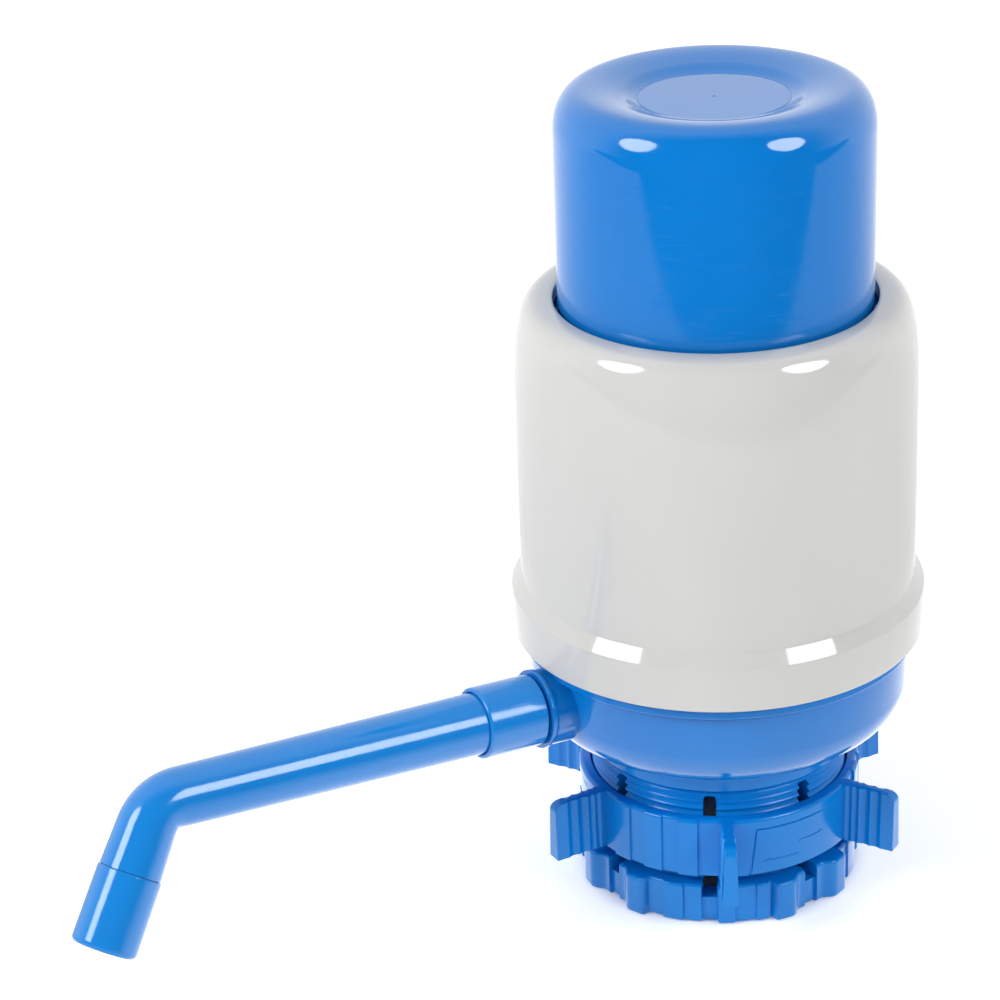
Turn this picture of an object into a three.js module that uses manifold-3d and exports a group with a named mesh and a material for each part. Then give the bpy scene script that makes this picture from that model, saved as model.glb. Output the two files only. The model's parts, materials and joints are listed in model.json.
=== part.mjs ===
// Hand pump for large water bottles: a press cap on a bellows, a neck collar with a
// clamping ring, and a bent spout.  Millimetres, +Z up, with the spout along -X.  The
// pieces are drawn with the bottom edge of the collar's skirt at height 0.  The whole pump
// is then lowered, so that the origin is the centre of the cap's press face.
import * as THREE from 'three';
import { mergeVertices } from 'three/addons/utils/BufferGeometryUtils.js';
import Module from 'manifold-3d';

const wasm = await Module();
wasm.setup();

// ---- driving dimensions ---------------------------------------------------------------
const BIG = 40;                    // facets round a large part
const MEDIUM = 28;                 // facets round a hand-sized part
const SMALL = 20;                  // facets round a tube or a stem
const FIT = 0.3;                   // gap between two pieces that fit together

const SKIRT_HEIGHT = 10.5;
const SKIRT_RADIUS = 34.4;
const COLLAR_BORE = 28.4;          // takes the neck of a 19 litre bottle
const COLLAR_TOP = 42.9;
const THREAD_ROOT = 30.9;
const THREAD_CREST = 31.6;
const THREAD_PITCH = 1.95;
const BAND_RADIUS = 32.2;          // plain band above the ridges
const BAND_BOTTOM = 35.8;
const SLOT_COUNT = 8;
const SLOT_TURN = -37.2;           // degrees from -Y towards +X to the first slot
const SLOT_TOP = 34.1;
const SLOT_BOTTOM = 6.8;
const SLOT_WIDTH = 3.2;
const WINDOW_WIDTH = 3.8;

const RING_BOTTOM = 13.4;
const RING_TOP = 29.0;
const RING_BORE = 32.0;
const RING_RADIUS = 34.5;
const GRIP_RADIUS = 35.0;
const WING_COUNT = 6;
const WING_TURN = -29.9;
const WING_TIP = 48.4;
const WING_BOTTOM = 13.6;
const WING_THICK = 3.8;
const WING_CORNER = 2.2;

const HOUSING_BOTTOM = 67.3;
const HOUSING_RADIUS = 47.8;
const HOUSING_RISE = 84.8;         // housing bottom to the crest of its shoulder
const BEAD_RADIUS = 50.1;
const SHOULDER_FOOT = 54.8;        // housing bottom to where its wall starts to curve in
const SHOULDER_POWER = 3.8;        // 2 is a plain ellipse, more is squarer
const BEAD_HEIGHT = 14.2;
const BEAD_BEVEL = 3.4;            // height of the bevel on top of the bead
const OPENING_RADIUS = 38.1;
const OPENING_LIP = 0.9;
const HOUSING_WALL = 2.0;

const BOWL_RADIUS = 46.35;
const BOWL_BOTTOM = 43.0;
const BOWL_FILLET = 10;
const BOWL_WALL = 2.4;
const FLANGE_RADIUS = 47.9;
const FLANGE_THICK = 3.0;
const LEDGE_TOP = 63.5;
const CHAMBER_RADIUS = 43.2;

const CAP_RADIUS = 37.1;
const CAP_RISE = 135.0;            // housing bottom to the crest of the cap
const CAP_WALL = 1.9;
const DISC_RADIUS = 17.7;          // the flat press face
const DISH_RADIUS = 19.8;          // the lip round it
const DISH_DEPTH = 2.9;
const CAP_FOOT = 77.7;             // housing bottom to the underside of the cap's flange
const CAP_FLANGE_RADIUS = 41.8;

const PLATE_THICK = 2.4;
const TOP_PLATE = 121.5;           // housing bottom to the underside of the top plate
const BELLOWS_CREST = 33.5;
const BELLOWS_ROOT = 27.6;
const BELLOWS_WALL = 1.4;
const BELLOWS_FOLDS = 6;
const CUFF_HEIGHT = 5.4;
const SPRING_RADIUS = 17;
const SPRING_WIRE = 1.8;
const SPRING_TURNS = 9;

const OUTLET_HEIGHT = 53.4;        // outlet axis above the skirt's bottom, on the pump's axis
const OUTLET_RISE = 3.5;           // degrees the outlet climbs as it leaves the body
const BOSS_RADIUS = 9.2;
const BOSS_END = 52.7;             // along the outlet axis, from the pump's axis
const STUB_RADIUS = 6.4;
const STUB_BORE = 4.4;
const STUB_END = 64;
const SPOUT_ROLL = 16.7;           // degrees the spout stands turned towards -Y
const COUPLING_START = 53.4;
const COUPLING_END = 68.9;
const COUPLING_RADIUS = 8.65;
const ARM_START = 66.1;
const ELBOW_AT = 151.2;            // where the two legs' axes meet
const ELBOW_BEND = 60.1;           // degrees
const ELBOW_OUTER = 17.7;          // radius round the outside of the bend
const ARM_RADIUS = 7.5;
const ELBOW_RADIUS = 6.9;
const TUBE_WALL = 1.4;
const TIP_STEP = 16.4;             // along the second leg to the tip sleeve
const TIP_END = 34.8;
const TIP_RADIUS = 7.65;

// ---- solids ---------------------------------------------------------------------------
const rad = THREE.MathUtils.degToRad;

/** A closed geometry with shared corners merged and its faces turned outwards. */
function faceOut(geometry) {
  const bare = geometry.index ? geometry.toNonIndexed() : geometry.clone();
  for (const name of Object.keys(bare.attributes)) {
    if (name !== 'position') bare.deleteAttribute(name);
  }
  const merged = mergeVertices(bare, 1e-4);
  const faces = dropThin(Array.from(merged.index.array));
  if (signedVolume(merged.attributes.position.array, faces) < 0) {
    for (let i = 0; i < faces.length; i += 3) {
      [faces[i], faces[i + 1]] = [faces[i + 1], faces[i]];
    }
  }
  merged.setIndex(faces);
  merged.computeVertexNormals();
  return merged;
}

/** A manifold solid from a closed three.js geometry. */
function solid(geometry) {
  const closed = faceOut(geometry);
  return new wasm.Manifold(new wasm.Mesh({
    numProp: 3,
    vertProperties: new Float32Array(closed.attributes.position.array),
    triVerts: new Uint32Array(closed.index.array),
  }));
}

/** Faces without those that merging has closed up, as at the pole of a lathe. */
function dropThin(faces) {
  const kept = [];
  for (let i = 0; i < faces.length; i += 3) {
    const [a, b, c] = faces.slice(i, i + 3);
    if (a !== b && b !== c && c !== a) kept.push(a, b, c);
  }
  return kept;
}

function signedVolume(corners, faces) {
  const at = (i) => new THREE.Vector3().fromArray(corners, 3 * i);
  let sum = 0;
  for (let i = 0; i < faces.length; i += 3) {
    sum += at(faces[i]).dot(at(faces[i + 1]).cross(at(faces[i + 2])));
  }
  return sum;
}

/** A BufferGeometry from a manifold solid. */
function geometryOf(manifold) {
  const mesh = manifold.getMesh();
  const geometry = new THREE.BufferGeometry();
  geometry.setAttribute('position', new THREE.BufferAttribute(mesh.vertProperties, 3));
  geometry.setIndex(new THREE.BufferAttribute(mesh.triVerts, 1));
  geometry.computeVertexNormals();
  return geometry;
}

function join(...solids) {
  return solids.reduce((whole, next) => whole.add(next));
}

function cut(body, ...tools) {
  return tools.reduce((rest, tool) => rest.subtract(tool), body);
}

/** Turns an outline of [radius, height] points about Z. */
function turned(outline, facets) {
  const points = outline.map(([r, z]) => new THREE.Vector2(r, z));
  return new THREE.LatheGeometry(points, facets).rotateX(Math.PI / 2);
}

/** A turned ring: its outline closes on itself. */
function ring(outline, facets) {
  return turned([...outline, outline[0]], facets);
}

/** A plain tube or, with no bore, a rod from z0 to z1. */
function pipe(outer, bore, z0, z1, facets) {
  if (bore === 0) return turned([[0, z0], [outer, z0], [outer, z1], [0, z1]], facets);
  return ring([[bore, z0], [outer, z0], [outer, z1], [bore, z1]], facets);
}

/** Points on a quarter of a superellipse, from its top round to its side. */
function shoulder(r0, z0, width, height, power, steps) {
  const points = [];
  for (let i = 0; i <= steps; i++) {
    const angle = (Math.PI / 2) * (i / steps);
    const across = Math.sin(angle) ** (2 / power);
    const up = Math.cos(angle) ** (2 / power);
    points.push([r0 + width * across, z0 + height * up]);
  }
  return points;
}

/** The direction `turn` degrees from -Y towards +X. */
function heading(turn) {
  return new THREE.Vector2(Math.sin(rad(turn)), -Math.cos(rad(turn)));
}

/** A block that reaches out along a heading: between two radii, two heights, one width. */
function spoke(turn, inner, outer, z0, z1, width) {
  const block = new THREE.BoxGeometry(width, outer - inner, z1 - z0);
  block.translate(0, -(inner + outer) / 2, (z0 + z1) / 2);
  return block.rotateZ(rad(turn));
}

/** A curved plate between two headings. */
function arcPlate(from, to, inner, outer, z0, z1) {
  const steps = Math.max(2, Math.round(Math.abs(to - from) / 7.5));
  const shape = new THREE.Shape();
  const walk = (radius, start, end) => {
    for (let i = 0; i <= steps; i++) {
      const p = heading(start + ((end - start) * i) / steps).multiplyScalar(radius);
      if (shape.curves.length === 0 && shape.currentPoint.lengthSq() === 0) shape.moveTo(p.x, p.y);
      else shape.lineTo(p.x, p.y);
    }
  };
  walk(outer, from, to);
  walk(inner, to, from);
  shape.closePath();
  const plate = new THREE.ExtrudeGeometry(shape, { depth: z1 - z0, bevelEnabled: false });
  return plate.translate(0, 0, z0);
}

/** Names a geometry and gives it its plastic, rubber or steel. */
function piece(name, geometry, material) {
  const mesh = new THREE.Mesh(faceOut(geometry), material);
  mesh.name = name;
  return mesh;
}

// ---- materials ------------------------------------------------------------------------
const bluePlastic = new THREE.MeshStandardMaterial({ color: 0x1e7fd8, roughness: 0.28, metalness: 0 });
const whitePlastic = new THREE.MeshStandardMaterial({ color: 0xdcdbd7, roughness: 0.25, metalness: 0 });
const clearPlastic = new THREE.MeshStandardMaterial({ color: 0xe9ecec, roughness: 0.35, metalness: 0 });
const rubber = new THREE.MeshStandardMaterial({ color: 0xc9cdd0, roughness: 0.6, metalness: 0 });
const blackRubber = new THREE.MeshStandardMaterial({ color: 0x26282b, roughness: 0.65, metalness: 0 });
const steel = new THREE.MeshStandardMaterial({ color: 0xb9bcc0, roughness: 0.3, metalness: 1 });

// ---- the collar on the bottle's neck ---------------------------------------------------
/** Outline of the collar's wall: bore, skirt, ridged part and plain band. */
function collarOutline() {
  const outline = [
    [COLLAR_BORE, COLLAR_TOP], [COLLAR_BORE, 2.2], [COLLAR_BORE + 1.6, 0],
    [SKIRT_RADIUS, 0], [SKIRT_RADIUS, SKIRT_HEIGHT], [THREAD_ROOT, SKIRT_HEIGHT],
  ];
  const visibleRidges = 4;
  const first = BAND_BOTTOM - 0.5 - visibleRidges * THREAD_PITCH;
  for (let i = 0; i < visibleRidges; i++) {
    const z = first + i * THREAD_PITCH;
    outline.push([THREAD_ROOT, z], [THREAD_CREST, z + 0.6 * THREAD_PITCH]);
  }
  outline.push([THREAD_ROOT, first + visibleRidges * THREAD_PITCH]);
  outline.push([BAND_RADIUS, BAND_BOTTOM], [BAND_RADIUS, COLLAR_TOP]);
  return outline;
}

/** Teeth round the skirt: a pair stands either side of every other slot. */
function skirtTeeth() {
  const teeth = [];
  for (let i = 0; i < SLOT_COUNT; i += 2) {
    const middle = SLOT_TURN - 45 + i * (360 / SLOT_COUNT);
    for (const side of [-14.3, 14.3]) {
      const turn = middle + side;
      teeth.push(solid(arcPlate(turn - 4.3, turn + 4.3, SKIRT_RADIUS - 1, 36.6, 0, SKIRT_HEIGHT)));
    }
  }
  return teeth;
}

/** One slot between the collar's fingers, with a wider window and a sunk panel below it. */
function slotCutters(turn) {
  const high = spoke(turn, 26, 34, SLOT_BOTTOM, SLOT_TOP - SLOT_WIDTH / 2, SLOT_WIDTH);
  const end = new THREE.CylinderGeometry(SLOT_WIDTH / 2, SLOT_WIDTH / 2, 8, 12);
  end.translate(0, -30, 0).translate(0, 0, SLOT_TOP - SLOT_WIDTH / 2).rotateZ(rad(turn));
  const window_ = spoke(turn, 26, 40, SLOT_BOTTOM, SKIRT_HEIGHT + 1, WINDOW_WIDTH);
  const panel = spoke(turn, SKIRT_RADIUS - 0.9, 40, -1, SLOT_BOTTOM + 1, WINDOW_WIDTH);
  return [solid(high), solid(end), solid(window_), solid(panel)];
}

function neckCollar() {
  let body = join(solid(ring(collarOutline(), BIG)), ...skirtTeeth());
  for (let i = 0; i < SLOT_COUNT; i++) {
    body = cut(body, ...slotCutters(SLOT_TURN + (i * 360) / SLOT_COUNT));
  }
  return geometryOf(body);
}

/** A wing of the clamping ring, its top outer corner rounded. */
function wing(turn) {
  const corner = WING_CORNER;
  const inner = RING_BORE + 1;
  const shape = new THREE.Shape();
  shape.moveTo(inner, WING_BOTTOM);
  shape.lineTo(WING_TIP, WING_BOTTOM);
  shape.lineTo(WING_TIP, RING_TOP - corner);
  shape.absarc(WING_TIP - corner, RING_TOP - corner, corner, 0, Math.PI / 2, false);
  shape.lineTo(inner, RING_TOP);
  shape.closePath();
  const blade = new THREE.ExtrudeGeometry(shape, {
    depth: WING_THICK, bevelEnabled: false, curveSegments: 4,
  });
  blade.translate(0, 0, -WING_THICK / 2).rotateX(Math.PI / 2);
  return blade.rotateZ(rad(turn - 90));
}

function clampRing() {
  const chamfer = 1;
  const band = ring([
    [RING_BORE, RING_BOTTOM], [RING_RADIUS, RING_BOTTOM], [RING_RADIUS, RING_TOP - chamfer],
    [RING_RADIUS - chamfer, RING_TOP], [RING_BORE, RING_TOP],
  ], BIG);
  let body = solid(band);
  for (let i = 0; i < WING_COUNT; i++) {
    const turn = WING_TURN + (i * 360) / WING_COUNT;
    body = join(body, solid(wing(turn)));
    const starts = i % 2 ? [10, 25, 40] : [];
    for (const start of starts) {
      const plate = arcPlate(turn + start, turn + start + 8.3, RING_RADIUS - 0.8, GRIP_RADIUS,
        RING_BOTTOM, RING_TOP - chamfer);
      body = join(body, solid(plate));
    }
  }
  return geometryOf(body);
}

function neckGasket() {
  return pipe(COLLAR_BORE - 0.2, 22.5, 36.2, 39.1, MEDIUM);
}

// ---- the outlet and its frame ----------------------------------------------------------
/** Places what is drawn along +Z from the pump's axis on the outlet's axis. */
function toOutlet(geometry) {
  geometry.rotateY(Math.PI / 2);
  geometry.applyMatrix4(outletFrame(0));
  return geometry;
}

/** The outlet's frame: X runs out along its axis, turned about it by `roll` degrees. */
function outletFrame(roll) {
  const turn = new THREE.Euler(rad(roll), -rad(OUTLET_RISE), Math.PI, 'ZYX');
  const frame = new THREE.Matrix4().makeRotationFromEuler(turn);
  return frame.setPosition(0, 0, OUTLET_HEIGHT);
}

// ---- the base ------------------------------------------------------------------------
/** Outline of the bowl: flange, rim inside the housing, wall, floor and neck spigot. */
function bowlOutline() {
  const wallFoot = BOWL_BOTTOM + BOWL_FILLET;
  const floorTop = BOWL_BOTTOM + BOWL_WALL;
  const innerFillet = BOWL_FILLET - BOWL_WALL;
  const outside = shoulder(BOWL_RADIUS - BOWL_FILLET, wallFoot, BOWL_FILLET, -BOWL_FILLET, 2, 6);
  const inside = shoulder(CHAMBER_RADIUS - innerFillet, floorTop + innerFillet, innerFillet,
    -innerFillet, 2, 4);
  const rimTop = HOUSING_BOTTOM + 10.2;
  return [
    [0, BOWL_BOTTOM], [25.8, BOWL_BOTTOM], [25.8, 39.2], [COLLAR_BORE - 0.2, 39.2],
    [COLLAR_BORE - 0.2, BOWL_BOTTOM], ...outside,
    [BOWL_RADIUS, HOUSING_BOTTOM - FLANGE_THICK], [FLANGE_RADIUS, HOUSING_BOTTOM - FLANGE_THICK],
    [FLANGE_RADIUS, HOUSING_BOTTOM - 0.1], [47.7, HOUSING_BOTTOM - 0.1], [47.7, rimTop],
    [45.5, rimTop], [45.5, HOUSING_BOTTOM], [CHAMBER_RADIUS, HOUSING_BOTTOM],
    [CHAMBER_RADIUS, LEDGE_TOP], [40.4, LEDGE_TOP], [40.4, LEDGE_TOP - 2.4],
    [CHAMBER_RADIUS, LEDGE_TOP - 5], ...inside.reverse(), [0, floorTop],
  ];
}

/** The outlet boss with its flared rim, and the narrower stub that the spout turns on. */
function outletBoss() {
  return toOutlet(turned([
    [0, 2], [6, 2], [6, 44.5], [BOSS_RADIUS, 44.5],
    [BOSS_RADIUS, BOSS_END - 1.3], [BOSS_RADIUS + 0.4, BOSS_END - 0.8],
    [BOSS_RADIUS + 0.4, BOSS_END], [STUB_RADIUS, BOSS_END], [STUB_RADIUS, 57],
    [STUB_RADIUS - 0.9, 57], [STUB_RADIUS - 0.9, 59.4], [STUB_RADIUS, 59.4],
    [STUB_RADIUS, STUB_END - 0.6], [STUB_RADIUS - 0.6, STUB_END], [0, STUB_END],
  ], SMALL));
}

function baseBowl() {
  const well = pipe(8.2, 0, 40.6, OUTLET_HEIGHT + 5, SMALL);
  const wellBore = pipe(6.3, 0, 30, OUTLET_HEIGHT, SMALL);
  const waterBore = toOutlet(pipe(STUB_BORE, 0, 0, STUB_END + 5, SMALL));
  let body = join(solid(turned(bowlOutline(), BIG)), solid(outletBoss()), solid(well));
  body = cut(body, solid(wellBore), solid(waterBore));
  const airHoles = 6;
  for (let i = 0; i < airHoles; i++) {
    const at = heading(30 + (i * 360) / airHoles).multiplyScalar(16.5);
    const hole = pipe(3, 0, 35, 50, 12).translate(at.x, at.y, 0);
    body = cut(body, solid(hole));
  }
  return geometryOf(body);
}

/** Push-in socket that holds the dip tube below the base. */
function tubeSocket() {
  return ring([
    [4.4, 24], [6.5, 24], [6.5, 38.6], [8.1, 38.6], [8.1, 40.3], [6.0, 40.3], [6.0, 43],
    [5.2, 43], [5.2, 45.2], [6.0, 45.2], [6.0, 50], [4.4, 50],
  ], SMALL);
}

/** O-ring of a given mean radius and cord, lying in a plane across Z. */
function oRing(mean, cord, z) {
  return new THREE.TorusGeometry(mean, cord, 8, SMALL).translate(0, 0, z);
}

// ---- the housing, the cap and what they hide --------------------------------------------
function housingShell() {
  const z = (rise) => HOUSING_BOTTOM + rise;
  const lip = OPENING_RADIUS + OPENING_LIP;
  const crest = shoulder(lip, z(SHOULDER_FOOT), HOUSING_RADIUS - lip,
    HOUSING_RISE - SHOULDER_FOOT, SHOULDER_POWER, 8);
  return ring([
    [OPENING_RADIUS, z(81.8)], [OPENING_RADIUS, z(HOUSING_RISE - OPENING_LIP)], ...crest,
    [HOUSING_RADIUS, z(BEAD_HEIGHT)], [BEAD_RADIUS, z(BEAD_HEIGHT - BEAD_BEVEL)],
    [BEAD_RADIUS, z(0)], [BEAD_RADIUS - HOUSING_WALL, z(0)],
    [BEAD_RADIUS - HOUSING_WALL, z(10.7)], [HOUSING_RADIUS - HOUSING_WALL, z(10.7)],
    [HOUSING_RADIUS - HOUSING_WALL, z(66)], [45.1, z(74)], [42.6, z(80.5)],
  ], BIG);
}

function pressCap() {
  const z = (rise) => HOUSING_BOTTOM + rise;
  const inner = CAP_RADIUS - CAP_WALL;
  const corner = shoulder(30.5, z(CAP_RISE - 10), CAP_RADIUS - 30.5, 10, 2.2, 5);
  const under = CAP_RISE - DISH_DEPTH - CAP_WALL;
  return turned([
    [0, z(CAP_RISE - DISH_DEPTH)], [DISC_RADIUS, z(CAP_RISE - DISH_DEPTH)],
    [DISH_RADIUS, z(CAP_RISE - DISH_DEPTH + 0.5)], [25.5, z(CAP_RISE - 0.7)],
    ...corner, [CAP_RADIUS, z(CAP_FOOT + 2.5)],
    [CAP_FLANGE_RADIUS, z(CAP_FOOT + 2.5)], [CAP_FLANGE_RADIUS, z(CAP_FOOT)],
    [inner, z(CAP_FOOT)], [inner, z(under - 3)], [inner - 3, z(under)],
    [14.5, z(under)], [14.5, z(TOP_PLATE + PLATE_THICK)], [12.5, z(TOP_PLATE + PLATE_THICK)],
    [12.5, z(under)], [0, z(under)],
  ], BIG);
}

/** A round plate with a ring of air holes round a stem hole. */
function drilled(plate, facets) {
  let body = solid(turned(plate, facets));
  const holes = 6;
  for (let i = 0; i < holes; i++) {
    const at = heading((i * 360) / holes).multiplyScalar(8.2);
    body = cut(body, solid(pipe(1.8, 0, 0, 250, 10).translate(at.x, at.y, 0)));
  }
  return geometryOf(cut(body, solid(pipe(2.8, 0, 0, 250, 12))));
}

/** Plate under the cap: it carries the intake valve and the bellows' upper cuff. */
function topPlate() {
  const under = HOUSING_BOTTOM + TOP_PLATE;
  const collar = BELLOWS_ROOT - BELLOWS_WALL - 0.2;
  return drilled([
    [0, under], [collar - 2, under], [collar - 2, under - CUFF_HEIGHT - 0.4],
    [collar, under - CUFF_HEIGHT - 0.4], [collar, under], [30, under],
    [30, under + PLATE_THICK - 0.1], [0, under + PLATE_THICK - 0.1],
  ], MEDIUM);
}

/** Plate across the top of the bowl: it carries the check valve and the bellows' foot. */
function valvePlate() {
  const top = LEDGE_TOP + PLATE_THICK;
  return drilled([
    [0, LEDGE_TOP], [CHAMBER_RADIUS - FIT, LEDGE_TOP], [CHAMBER_RADIUS - FIT, top],
    [20.5, top], [20.5, top + 1.5], [19, top + 1.5], [19, top], [0, top],
  ], MEDIUM);
}

/** A rubber flap valve: a disc below its plate and a barbed stem through it. */
function flapValve(plateBottom) {
  const disc = plateBottom - 0.2;
  const head = plateBottom + PLATE_THICK + 1.4;
  return turned([
    [0, disc - 1.2], [12, disc - 1.2], [12, disc - 0.4], [10, disc], [2.2, disc],
    [2.2, head], [3.6, head], [2.4, head + 1.6], [0, head + 1.6],
  ], SMALL);
}

/** The pleated rubber bellows, from its foot on the valve plate to its upper cuff. */
function bellows() {
  const foot = LEDGE_TOP + PLATE_THICK;
  const footTop = foot + 2;
  const cuffTop = HOUSING_BOTTOM + TOP_PLATE - 0.1;
  const cuffBottom = cuffTop - CUFF_HEIGHT;
  const pitch = (cuffBottom - footTop) / BELLOWS_FOLDS;
  const outside = [];
  for (let i = 0; i < BELLOWS_FOLDS; i++) {
    outside.push([BELLOWS_ROOT, footTop + i * pitch]);
    outside.push([BELLOWS_CREST, footTop + (i + 0.5) * pitch]);
  }
  outside.push([BELLOWS_ROOT, cuffBottom]);
  const inside = outside.slice(1).map(([r, z]) => [r - BELLOWS_WALL, z]).reverse();
  return ring([
    [BELLOWS_ROOT - BELLOWS_WALL, foot], [40, foot], [40, footTop], ...outside,
    [BELLOWS_ROOT, cuffTop], [BELLOWS_ROOT - BELLOWS_WALL, cuffTop], ...inside,
  ], MEDIUM);
}

/** Ring that presses the bellows' foot on the valve plate. */
function bellowsRetainer() {
  const foot = LEDGE_TOP + PLATE_THICK;
  return ring([
    [35, foot + 2.1], [40.3, foot + 2.1], [40.3, foot + 0.1], [CHAMBER_RADIUS - FIT, foot + 0.1],
    [CHAMBER_RADIUS - FIT, foot + 4.4], [35, foot + 4.4],
  ], MEDIUM);
}

/** A helix about Z with `turns` turns between two heights. */
class Helix extends THREE.Curve {
  constructor(radius, z0, z1, turns) {
    super();
    Object.assign(this, { radius, z0, z1, turns });
  }

  getPoint(t, target = new THREE.Vector3()) {
    const angle = 2 * Math.PI * this.turns * t;
    const z = this.z0 + (this.z1 - this.z0) * t;
    return target.set(this.radius * Math.cos(angle), this.radius * Math.sin(angle), z);
  }
}

function returnSpring() {
  const wire = new THREE.Shape().absarc(0, 0, SPRING_WIRE / 2, 0, 2 * Math.PI, false);
  const low = LEDGE_TOP + PLATE_THICK + SPRING_WIRE / 2 + 0.2;
  const high = HOUSING_BOTTOM + TOP_PLATE - SPRING_WIRE / 2 - 0.2;
  return new THREE.ExtrudeGeometry(wire, {
    steps: SPRING_TURNS * 12,
    curveSegments: 2,
    extrudePath: new Helix(SPRING_RADIUS, low, high, SPRING_TURNS),
  });
}

// ---- the spout -------------------------------------------------------------------------
/** Skins a row of rings, each the same count of points, and closes both ends. */
function loft(rings) {
  const count = rings[0].length;
  const corners = rings.flat();
  const faces = [];
  for (let i = 0; i + 1 < rings.length; i++) {
    for (let j = 0; j < count; j++) {
      const a = i * count + j;
      const b = i * count + ((j + 1) % count);
      faces.push(a, b, a + count, b, b + count, a + count);
    }
  }
  const last = corners.length - count;
  for (let j = 1; j + 1 < count; j++) {
    faces.push(0, j + 1, j, last, last + j, last + j + 1);
  }
  const geometry = new THREE.BufferGeometry();
  geometry.setFromPoints(corners);
  geometry.setIndex(faces);
  return geometry;
}

/**
 * A ring across the bent tube, in the outlet's frame.  The ring stands at `origin`, its
 * plane holds Y and `away`, and it spans from `near` to `far` along `away`.
 */
function tubeRing(origin, away, near, far, halfWidth) {
  const points = [];
  for (let i = 0; i < SMALL; i++) {
    const angle = (2 * Math.PI * i) / SMALL;
    const along = (near + far) / 2 + ((far - near) / 2) * Math.cos(angle);
    const p = origin.clone().addScaledVector(away, along);
    points.push(p.setY(halfWidth * Math.sin(angle)));
  }
  return points;
}

/**
 * The bent tube's skin from `start` on the arm to `end` on the second leg.  The outside of
 * the bend is a round of ELBOW_OUTER, and the inside is a sharp corner.
 */
function bentTube(start, end, armRadius, elbowRadius, endRadius) {
  const bend = rad(ELBOW_BEND);
  const second = new THREE.Vector3(Math.cos(bend), 0, -Math.sin(bend));
  const offset = ELBOW_OUTER - ELBOW_RADIUS;            // bend's centre to the tube's axis
  const setback = offset * Math.tan(bend / 2);
  const centre = new THREE.Vector3(ELBOW_AT - setback, 0, -offset);
  const outer = offset + elbowRadius;
  const inner = offset - elbowRadius;
  const up = new THREE.Vector3(0, 0, 1);
  const across = new THREE.Vector3(Math.sin(bend), 0, Math.cos(bend));
  const rings = [tubeRing(new THREE.Vector3(start, 0, 0), up, -armRadius, armRadius, armRadius)];
  const steps = 8;
  for (let i = 0; i <= steps; i++) {
    const turn = (bend * i) / steps;
    const away = new THREE.Vector3(Math.sin(turn), 0, Math.cos(turn));
    const near = inner / Math.cos(Math.min(turn, bend - turn));
    rings.push(tubeRing(centre, away, near, outer, elbowRadius));
  }
  const tip = new THREE.Vector3(ELBOW_AT, 0, 0).addScaledVector(second, end);
  rings.push(tubeRing(tip, across, -endRadius, endRadius, endRadius));
  return loft(rings);
}

/** Places what is drawn along +Z from the elbow's corner point on the second leg. */
function toTip(geometry) {
  return geometry.rotateY(Math.PI / 2 + rad(ELBOW_BEND)).translate(ELBOW_AT, 0, 0);
}

function spoutTube() {
  const spigotEnd = TIP_STEP + 8;
  const outside = bentTube(ARM_START, TIP_STEP, ARM_RADIUS, ELBOW_RADIUS, ELBOW_RADIUS + 0.35);
  const spigot = toTip(pipe(6.3, 0, TIP_STEP - 1, spigotEnd, SMALL));
  const bore = bentTube(ARM_START - 1, spigotEnd + 1, ARM_RADIUS - TUBE_WALL,
    ELBOW_RADIUS - TUBE_WALL, ELBOW_RADIUS - TUBE_WALL);
  return geometryOf(cut(join(solid(outside), solid(spigot)), solid(bore)));
}

/** Sleeve that turns on the outlet stub and holds the spout tube. */
function spoutCoupling() {
  const lip = 0.6;
  return ring([
    [STUB_RADIUS + FIT, COUPLING_START], [COUPLING_RADIUS, COUPLING_START],
    [COUPLING_RADIUS, COUPLING_END - lip], [COUPLING_RADIUS - lip, COUPLING_END],
    [ARM_RADIUS + 0.1, COUPLING_END], [ARM_RADIUS + 0.1, ARM_START - 0.1],
    [5.2, ARM_START - 0.1], [5.2, STUB_END + 0.6], [STUB_RADIUS + FIT, STUB_END + 0.6],
  ], SMALL).rotateY(Math.PI / 2);
}

/** Tip sleeve pushed on the tube's spigot. */
function spoutTip() {
  const round = 0.9;
  return toTip(ring([
    [6.4, TIP_STEP + 0.1], [TIP_RADIUS - 0.2, TIP_STEP + 0.1], [TIP_RADIUS - 0.1, TIP_STEP + 0.4],
    [TIP_RADIUS, TIP_END - round], [TIP_RADIUS - round, TIP_END], [5.6, TIP_END],
    [5.6, TIP_STEP + 8.2], [6.4, TIP_STEP + 8.2],
  ], SMALL));
}

// ---- assembly --------------------------------------------------------------------------
const pump = new THREE.Group();
pump.position.z = -(HOUSING_BOTTOM + CAP_RISE - DISH_DEPTH);

pump.add(piece('neck_collar', neckCollar(), bluePlastic));
pump.add(piece('clamp_ring', clampRing(), bluePlastic));
pump.add(piece('neck_gasket', neckGasket(), rubber));
pump.add(piece('base_bowl', baseBowl(), bluePlastic));
pump.add(piece('tube_socket', tubeSocket(), clearPlastic));
pump.add(piece('tube_socket_seal', oRing(5.72, 0.46, 44.1), blackRubber));
pump.add(piece('valve_plate', valvePlate(), whitePlastic));
pump.add(piece('check_valve', flapValve(LEDGE_TOP), rubber));
pump.add(piece('bellows_retainer', bellowsRetainer(), whitePlastic));
pump.add(piece('bellows', bellows(), rubber));
pump.add(piece('return_spring', returnSpring(), steel));
pump.add(piece('top_plate', topPlate(), whitePlastic));
pump.add(piece('intake_valve', flapValve(HOUSING_BOTTOM + TOP_PLATE), rubber));
pump.add(piece('housing', housingShell(), whitePlastic));
pump.add(piece('press_cap', pressCap(), bluePlastic));
pump.add(piece('outlet_seal', toOutlet(oRing(5.97, 0.44, 58.2)), blackRubber));

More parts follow.
